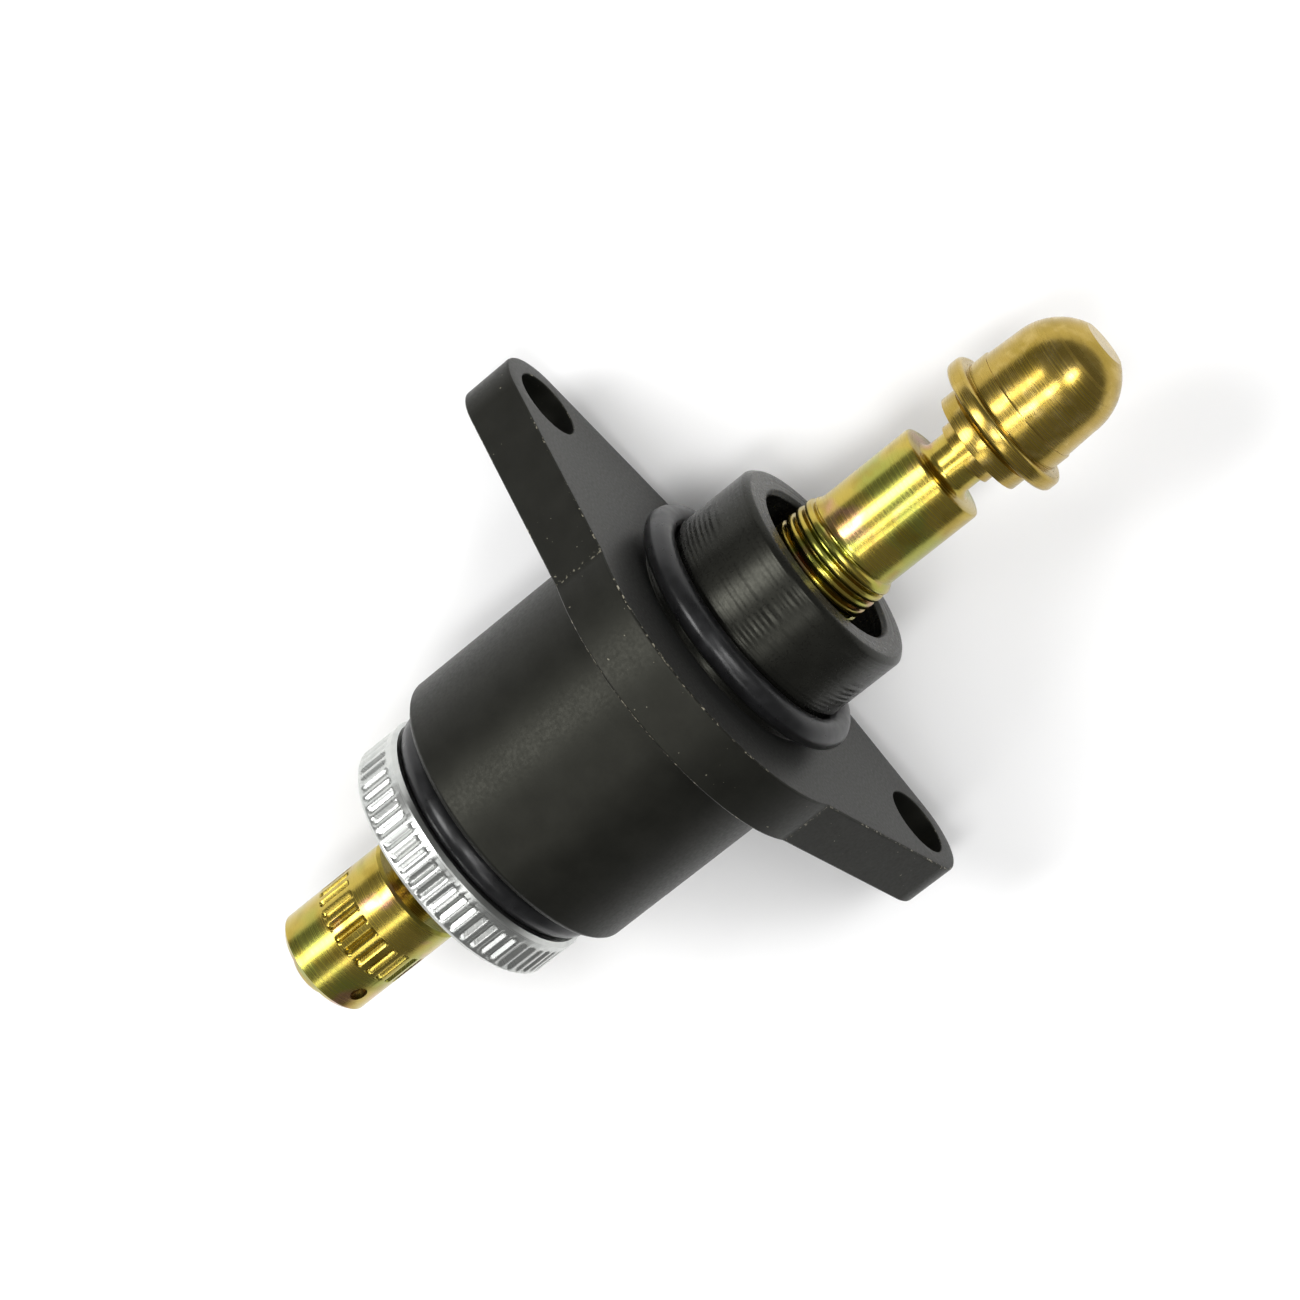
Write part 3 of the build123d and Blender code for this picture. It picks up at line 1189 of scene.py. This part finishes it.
@dataclass
class ThreadedSpindle:
    """Plated spindle: tail, screw thread, sleeve, neck and the head inside the pintle."""

    pitch: float = 1.0
    crest_radius: float = 5.0
    root_radius: float = 4.52
    root_share: float = 0.06
    flank_share: float = 0.17
    crest_dome: float = 0.07
    dome_shares: tuple[float, ...] = (0.0, 0.15, 0.5, 0.85, 1.0)
    cut_rear: float = -4.5
    thread_rear: float = -15.1
    thread_front: float = 14.3
    spare_turns: int = 2
    fade: float = 1.1
    run_out: float = 0.2
    sleeve_radius: float = 4.5
    sleeve_front: float = 23.2
    sleeve_chamfer: float = 0.25
    chamfer_knee: float = 0.3
    neck_radius: float = 2.42
    neck_fillet: float = 0.7
    fillet_steps: int = 6
    head_radius: float = 3.1
    head_length: float = 2.0
    tail_radius: float = 2.67
    tail_chamfer: float = 0.4
    steps: int = 120

    def thread_profile(self) -> list[Corner]:
        """Give the thread's saw line, a whole number of pitches long.

        Returns:
            (station, radius) corners from rear to front.
        """
        start = self.cut_rear - self.spare_turns * self.pitch
        turns = math.ceil((self.thread_front - start) / self.pitch) + self.spare_turns
        crest_start = self.root_share + self.flank_share
        crest = 1.0 - self.flank_share - crest_start
        one = [(0.0, self.root_radius), (self.root_share, self.root_radius)]
        for across in self.dome_shares:
            sunk = self.crest_dome * (2.0 * across - 1.0) ** 2
            one.append((crest_start + crest * across, self.crest_radius - sunk))
        return [
            (start + (turn + share) * self.pitch, radius)
            for turn in range(turns)
            for share, radius in one
        ]

    def fade_ends(self, bm: bmesh.types.BMesh) -> None:
        """Run the thread out on to the sleeve in front and to a plain screw behind.

        Args:
            bm: Mesh of the thread.
        """
        for vert in bm.verts:
            station, radius = station_of(vert), radius_of(vert)
            out = smooth_step(self.thread_front - self.fade, self.thread_front, station)
            back = smooth_step(self.cut_rear + self.fade, self.cut_rear, station)
            radius += (self.sleeve_radius - radius) * out
            radius += (self.crest_radius - radius) * back
            set_radius(vert, radius)

    def trim(self, bm: bmesh.types.BMesh, station: float, outward: float) -> list[bmesh.types.BMEdge]:
        """Cut the thread square at a station.

        Args:
            bm: Mesh of the thread.
            station: Station of the cut.
            outward: 1 to drop what lies in front, -1 to drop what lies behind.

        Returns:
            The edges of the clean ring.
        """
        made = bmesh.ops.bisect_plane(
            bm,
            geom=bm.verts[:] + bm.edges[:] + bm.faces[:],
            dist=MERGE_DISTANCE,
            plane_co=AXIS * (station * MM),
            plane_no=AXIS * outward,
            clear_outer=True,
        )["geom_cut"]
        return [item for item in made if isinstance(item, bmesh.types.BMEdge)]

    def front_profile(self) -> list[Corner]:
        """Give the corners from the sleeve to the hidden head.

        Returns:
            (station, radius) corners from rear to front.
        """
        head_front = ends_of("spindle")[1]
        head_rear = head_front - self.head_length
        root = self.neck_radius + self.neck_fillet
        knee = self.chamfer_knee * self.sleeve_chamfer
        fillet = []
        for step in range(1, self.fillet_steps + 1):
            angle = math.radians(90.0 * step / self.fillet_steps)
            station = self.sleeve_front + self.neck_fillet * (1.0 - math.cos(angle))
            fillet.append((station, root - self.neck_fillet * math.sin(angle)))
        return [
            (self.sleeve_front - self.sleeve_chamfer, self.sleeve_radius),
            (self.sleeve_front - knee, self.sleeve_radius - knee),
            (self.sleeve_front, self.sleeve_radius - self.sleeve_chamfer),
            (self.sleeve_front, root),
            *fillet,
            (head_rear, self.neck_radius),
            (head_rear, self.head_radius),
            (head_front, self.head_radius),
        ]

    def rear_profile(self) -> list[Corner]:
        """Give the corners from the screw to the end of the tail.

        Returns:
            (station, radius) corners from front to rear.
        """
        end = ends_of("spindle")[0]
        return [
            (self.thread_rear, self.crest_radius),
            (self.thread_rear, self.tail_radius),
            (end + self.tail_chamfer, self.tail_radius),
            (end, self.tail_radius - self.tail_chamfer),
        ]

    def build(self, finishes: Finishes) -> None:
        """Build the spindle.

        Args:
            finishes: Materials to take from.
        """
        bm = bmesh.new()
        lathe(bm, self.thread_profile(), self.steps, rise=self.pitch)
        self.fade_ends(bm)
        front_ring = self.trim(bm, self.thread_front + self.run_out, 1.0)
        draw_out(bm, front_ring, self.front_profile())
        rear_ring = self.trim(bm, self.cut_rear, -1.0)
        draw_out(bm, rear_ring, self.rear_profile())
        publish(bm, "threaded_spindle", finishes, Slot.YELLOW_ZINC, Body.SPINDLE, "spindle")


@dataclass
class BrassPintle:
    """Acorn pintle with its hub, guide flange, collar and ogive nose."""

    hub_radius: float = 2.82
    hub_length: float = 1.35
    guide_radius: float = 4.6
    guide_length: float = 1.4
    groove_width: float = 0.55
    groove_radius: float = 4.3
    collar_length: float = 1.5
    base_radius: float = 5.32
    base_length: float = 1.75
    body_radius: float = 5.2
    body_length: float = 2.9
    body_front_radius: float = 5.06
    tip_radius: float = 2.1
    nose_bulge: float = 0.83
    nose_points: int = 18
    socket_lip: float = 0.7
    neck_bore: float = 2.47
    head_bore: float = 3.15
    head_depth: float = 2.1
    collar_round: float = 0.45
    corner_break: float = 0.12
    steps: int = 144

    def build(self, finishes: Finishes) -> None:
        """Build the pintle.

        Args:
            finishes: Materials to take from.
        """
        hub_rear, tip = ends_of("pintle")
        collar_radius = reach_of("pintle")
        guide_rear = hub_rear + self.hub_length
        guide_front = guide_rear + self.guide_length
        collar_rear = guide_front + self.groove_width
        collar_front = collar_rear + self.collar_length
        base_front = collar_front + self.base_length
        body_front = base_front + self.body_length
        socket_rear = guide_rear + self.socket_lip
        socket_front = socket_rear + self.head_depth
        nose_start = (body_front, self.body_front_radius)
        profile = [
            (socket_front, 0.0),
            (socket_front, self.head_bore),
            (socket_rear, self.head_bore),
            (socket_rear, self.neck_bore),
            (hub_rear, self.neck_bore),
            (hub_rear, self.hub_radius),
            (guide_rear, self.hub_radius),
            (guide_rear, self.guide_radius),
            (guide_front, self.guide_radius),
            (guide_front + self.groove_width / 2.0, self.groove_radius),
            (collar_rear, self.guide_radius),
            (collar_rear, collar_radius),
            (collar_front, collar_radius),
            (collar_front, self.base_radius),
            (base_front, self.base_radius),
            (base_front, self.body_radius),
            nose_start,
            *swelling_arc(nose_start, (tip, self.tip_radius), self.nose_bulge, self.nose_points),
            (tip, 0.0),
        ]
        bm = bmesh.new()
        lathe(bm, profile, self.steps)
        bmesh.ops.recalc_face_normals(bm, faces=bm.faces[:])
        rim = collar_radius - SLACK
        outer = self.base_radius + SLACK
        break_edges(bm, self.collar_round, lambda edge: least_radius(edge) > rim, segments=4)
        break_edges(
            bm,
            self.corner_break,
            lambda edge: self.head_bore < least_radius(edge) < outer,
            segments=2,
        )
        publish(bm, "brass_pintle", finishes, Slot.BRASS, Body.PINTLE, "pintle")


@dataclass
class FlutedKnob:
    """Plated knob with a fluted waist, and the hole of its cross pin."""

    front_land: float = 3.5
    waist: float = 3.5
    flutes: int = 24
    flute_depth: float = 0.38
    crest_share: float = 0.35
    ramp: float = 0.45
    front_break: float = 0.25
    rear_break: float = 0.45
    bore: float = 2.69
    steps_per_flute: int = 10
    pin_radius: float = 0.77
    pin_from_rear: float = 2.3
    pin_angle: float = math.radians(131.0)
    pin_round_share: float = 0.125
    pin_steps: int = 32
    drill_radii: float = 4.0

    def rod(self, radius: float, length: float) -> bmesh.types.BMesh:
        """Make a round rod at the cross pin's place.

        Args:
            radius: Radius of the rod.
            length: Length of the rod.

        Returns:
            Its mesh.
        """
        rear = ends_of("adjuster_knob")[0]
        turn = Vector((0.0, 0.0, 1.0)).rotation_difference(spot(0.0, 1.0, self.pin_angle))
        middle = Matrix.Translation(spot(rear + self.pin_from_rear, 0.0))
        bm = bmesh.new()
        bmesh.ops.create_cone(
            bm,
            cap_ends=True,
            segments=self.pin_steps,
            radius1=radius * MM,
            radius2=radius * MM,
            depth=length * MM,
            matrix=middle @ turn.to_matrix().to_4x4(),
        )
        return bm

    def build(self, finishes: Finishes) -> None:
        """Build the knob and its pin.

        Args:
            finishes: Materials to take from.
        """
        rear, front = ends_of("adjuster_knob")
        radius = reach_of("adjuster_knob")
        waist_front = front - self.front_land
        waist_rear = waist_front - self.waist
        flutes = FlutedBand(
            rear=waist_rear,
            front=waist_front,
            count=self.flutes,
            depth=self.flute_depth,
            crest_share=self.crest_share,
            ramp=self.ramp,
        )
        profile = [
            (rear, self.bore),
            (rear, radius - self.rear_break),
            (rear + self.rear_break, radius),
            *flutes.profile(radius),
            (front - self.front_break, radius),
            (front, radius - self.front_break),
            (front, self.bore),
        ]
        bm = bmesh.new()
        lathe(bm, profile, self.flutes * self.steps_per_flute, closed=True)
        flutes.press(bm)
        knob = publish(bm, "fluted_knob", finishes, Slot.YELLOW_ZINC, Body.SPINDLE, "adjuster_knob")
        self.bore_pin_hole(knob, radius)
        self.build_pin(finishes)

    def bore_pin_hole(self, knob: bpy.types.Object, radius: float) -> None:
        """Bore the cross hole and keep the result as the knob's own mesh.

        Args:
            knob: Knob to bore.
            radius: Radius of the knob.
        """
        bm = self.rod(self.pin_radius, self.drill_radii * radius)
        mesh = bpy.data.meshes.new("pin_drill")
        bm.to_mesh(mesh)
        bm.free()
        drill = bpy.data.objects.new("pin_drill", mesh)
        bpy.context.scene.collection.objects.link(drill)
        bore = knob.modifiers.new("pin_hole", "BOOLEAN")
        bore.operation = "DIFFERENCE"
        bore.solver = "EXACT"
        bore.object = drill
        knob.modifiers.move(1, 0)
        bpy.context.view_layer.update()
        weighted = knob.modifiers["weighted_normals"]
        weighted.show_viewport = False
        evaluated = knob.evaluated_get(bpy.context.evaluated_depsgraph_get())
        bored = bpy.data.meshes.new_from_object(evaluated)
        knob.modifiers.remove(bore)
        weighted.show_viewport = True
        knob.data = bored
        bored.name = knob.name
        bpy.data.objects.remove(drill)

    def build_pin(self, finishes: Finishes) -> None:
        """Build the cross pin with rounded ends.

        Args:
            finishes: Materials to take from.
        """
        low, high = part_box("knob_pin")
        width = (high.x - low.x) / MM
        spread = (high.y - low.y) / MM
        length = (spread - width * abs(math.sin(self.pin_angle))) / abs(math.cos(self.pin_angle))
        bm = self.rod(width / 2.0, length)
        break_edges(bm, self.pin_round_share * width, lambda edge: True)
        publish(bm, "cross_pin", finishes, Slot.STEEL, Body.SPINDLE, "knob_pin")


def dress_inner_pieces(frame: dict[str, Any], finishes: Finishes) -> None:
    """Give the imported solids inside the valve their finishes.

    Args:
        frame: Loaded frame.
        finishes: Materials to take from.
    """
    for node, slot in (
        ("thread_insert", Slot.BRASS),
        ("gland_seal", Slot.RUBBER),
        ("gland_washer", Slot.STEEL),
        ("gland_clip", Slot.STEEL),
    ):
        piece = frame["nodes"][node]
        piece.data.materials.clear()
        piece.data.materials.append(finishes.of(slot))
        LOG.info("%s: packed solid in %s", node, slot.value)


# Studio


@dataclass(frozen=True)
class PhotoCamera:
    """Camera at the photograph's place, found from the flange and the turned edges."""

    azimuth: float = math.radians(119.8)
    elevation: float = math.radians(70.0)
    roll: float = math.radians(-160.0)
    distance: float = 300.9
    aim: tuple[float, float, float] = (-5.64, 3.45, -0.73)
    lens: float = 100.0
    sensor: float = 36.0
    clip_start: float = 10.0

    def back(self) -> Vector:
        """Give the direction from the valve to the camera.

        Returns:
            The direction, one unit long.
        """
        flat = math.cos(self.elevation)
        return Vector(
            (
                math.sin(self.azimuth) * flat,
                -math.cos(self.azimuth) * flat,
                math.sin(self.elevation),
            )
        )

    def turn(self) -> Quaternion:
        """Give the camera's rotation."""
        level = (-self.back()).to_track_quat("-Z", "Y")
        return level @ Quaternion((0.0, 0.0, 1.0), self.roll)

    def point(self, right: float, up: float, towards: float) -> Vector:
        """Place a point by what the camera sees.

        Args:
            right: Distance to the picture's right, in millimetres.
            up: Distance to the picture's top.
            towards: Distance from the valve towards the camera.

        Returns:
            The point in metres.
        """
        return (Vector(self.aim) + self.turn() @ Vector((right, up, towards))) * MM

    def place(self) -> None:
        """Make the camera and use it."""
        data = bpy.data.cameras.new("photo_camera")
        data.lens = self.lens
        data.sensor_width = self.sensor
        data.clip_start = self.clip_start * MM
        camera = bpy.data.objects.new("photo_camera", data)
        camera.location = self.point(0.0, 0.0, self.distance)
        camera.rotation_mode = "QUATERNION"
        camera.rotation_quaternion = self.turn()
        bpy.context.scene.collection.objects.link(camera)
        bpy.context.scene.camera = camera


@dataclass(frozen=True)
class SoftBox:
    """Area light placed by what the camera sees, turned to the valve, its width along the valve.

    A light that isn't glossy fills the floor and stays out of the reflections.
    """

    name: str
    right: float
    up: float
    towards: float
    width: float
    height: float
    power: float
    glossy: bool = True

    def place(self, camera: PhotoCamera) -> None:
        """Make the light.

        Args:
            camera: Camera that the light is placed by.
        """
        data = bpy.data.lights.new(self.name, "AREA")
        data.shape = "ELLIPSE"
        data.size = self.width * MM
        data.size_y = self.height * MM
        data.energy = self.power
        light = bpy.data.objects.new(self.name, data)
        light.visible_glossy = self.glossy
        light.location = camera.point(self.right, self.up, self.towards)
        facing = (light.location - Vector(camera.aim) * MM).normalized()
        along = (AXIS - facing * AXIS.dot(facing)).normalized()
        axes = Matrix((along, facing.cross(along), facing)).transposed()
        light.rotation_mode = "QUATERNION"
        light.rotation_quaternion = axes.to_quaternion()
        bpy.context.scene.collection.objects.link(light)


@dataclass(frozen=True)
class Studio:
    """Pale floor, soft boxes and an even surround."""

    floor_size: float = 4000.0
    floor_gap: float = 0.4
    floor_colour: Colour = (0.9, 0.9, 0.9)
    floor_roughness: float = 0.8
    surround: Colour = (0.2, 0.2, 0.2)
    boxes: tuple[SoftBox, ...] = (
        SoftBox("key_box", -305.0, 17.0, 302.0, 280.0, 160.0, 1.3),
        SoftBox("side_box", -72.0, -258.0, 297.0, 240.0, 70.0, 0.2),
        SoftBox("nose_box", -60.0, -100.0, 380.0, 170.0, 60.0, 0.42),
        SoftBox("front_box", 145.0, 30.0, 390.0, 200.0, 90.0, 0.6),
        SoftBox("floor_fill", 0.0, 0.0, 800.0, 700.0, 700.0, 1.45, glossy=False),
    )

    def build(self, camera: PhotoCamera) -> None:
        """Build the studio round the valve.

        Args:
            camera: Camera that the lights are placed by.
        """
        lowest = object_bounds()[0].z
        bm = bmesh.new()
        bmesh.ops.create_grid(
            bm,
            x_segments=1,
            y_segments=1,
            size=self.floor_size / 2.0 * MM,
            matrix=Matrix.Translation((0.0, 0.0, lowest - self.floor_gap * MM)),
        )
        mesh = bpy.data.meshes.new("pale_floor")
        bm.to_mesh(mesh)
        bm.free()
        floor = bpy.data.objects.new("pale_floor", mesh)
        bpy.context.scene.collection.objects.link(floor)
        shader = Shader("pale_floor")
        shader.set(Base_Color=self.floor_colour, Roughness=self.floor_roughness)
        mesh.materials.append(shader.material)
        floor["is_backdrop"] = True
        world = bpy.data.worlds.new("soft_surround")
        world.use_nodes = True
        world.node_tree.nodes["Background"].inputs["Color"].default_value = (*self.surround, 1.0)
        bpy.context.scene.world = world
        bpy.context.scene.view_settings.view_transform = "Standard"
        for box in self.boxes:
            box.place(camera)


def main() -> None:
    """Build every piece in order, then the studio."""
    logging.basicConfig(level=logging.INFO, format="%(message)s")
    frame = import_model()
    finishes = Finishes()
    for assembly in (
        HousingBody.from_frame(frame),
        SealRing("spigot_seal_ring", "flange_seal"),
        SealRing("rear_seal_ring", "ring_seal"),
        KnurledRing(),
        ThreadedSpindle(),
        BrassPintle(),
        FlutedKnob(),
    ):
        assembly.build(finishes)
    dress_inner_pieces(frame, finishes)
    camera = PhotoCamera()
    camera.place()
    Studio().build(camera)


if __name__ == "__main__":
    main()
